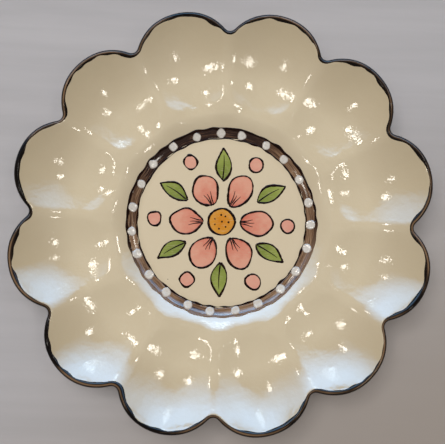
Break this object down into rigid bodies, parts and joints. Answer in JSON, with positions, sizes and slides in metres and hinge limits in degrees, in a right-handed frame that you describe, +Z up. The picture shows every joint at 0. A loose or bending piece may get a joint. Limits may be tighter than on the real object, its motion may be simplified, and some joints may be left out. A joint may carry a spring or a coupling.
{
  "type": "deviled egg platter",
  "caption": "Round scalloped ceramic platter with a ring of egg wells round a flat painted centre, dark brushed rim, dotted band and a low foot ring, for serving filled egg halves.",
  "frame": {"origin": "centre of the foot ring's underside, on the table", "axes": "+Z up out of the dish; +X and +Y each point through a notch of the rim, and the foot of the picture is towards -Y"},
  "size_m": [0.287, 0.287, 0.0363],
  "materials": {
    "glaze_ivory": "clear gloss glaze over cream earthenware",
    "rim_brown": "glossy brown-black lustre, brushed",
    "band_bronze": "thin bronze-brown wash, brushed",
    "line_brown": "brushed line under gloss",
    "dot_white": "white slip dots under gloss",
    "eye_orange": "orange underglaze, brushed",
    "petal_salmon": "salmon underglaze, brushed",
    "leaf_green": "olive green underglaze, brushed",
    "bud_pink": "pale pink underglaze, brushed"
  },
  "bodies": {
    "root": {"platter_body": "glaze_ivory", "rim_band": "rim_brown", "medallion_band": "band_bronze", "band_inner_line": "line_brown", "band_outer_line": "line_brown", "band_dots": "dot_white", "flower_eye": "eye_orange", "eye_outline": "line_brown", "petals": "petal_salmon", "petal_outlines": "line_brown", "leaves": "leaf_green", "leaf_outlines": "line_brown", "buds": "bud_pink", "bud_outlines": "line_brown"}
  },
  "joints": []
}
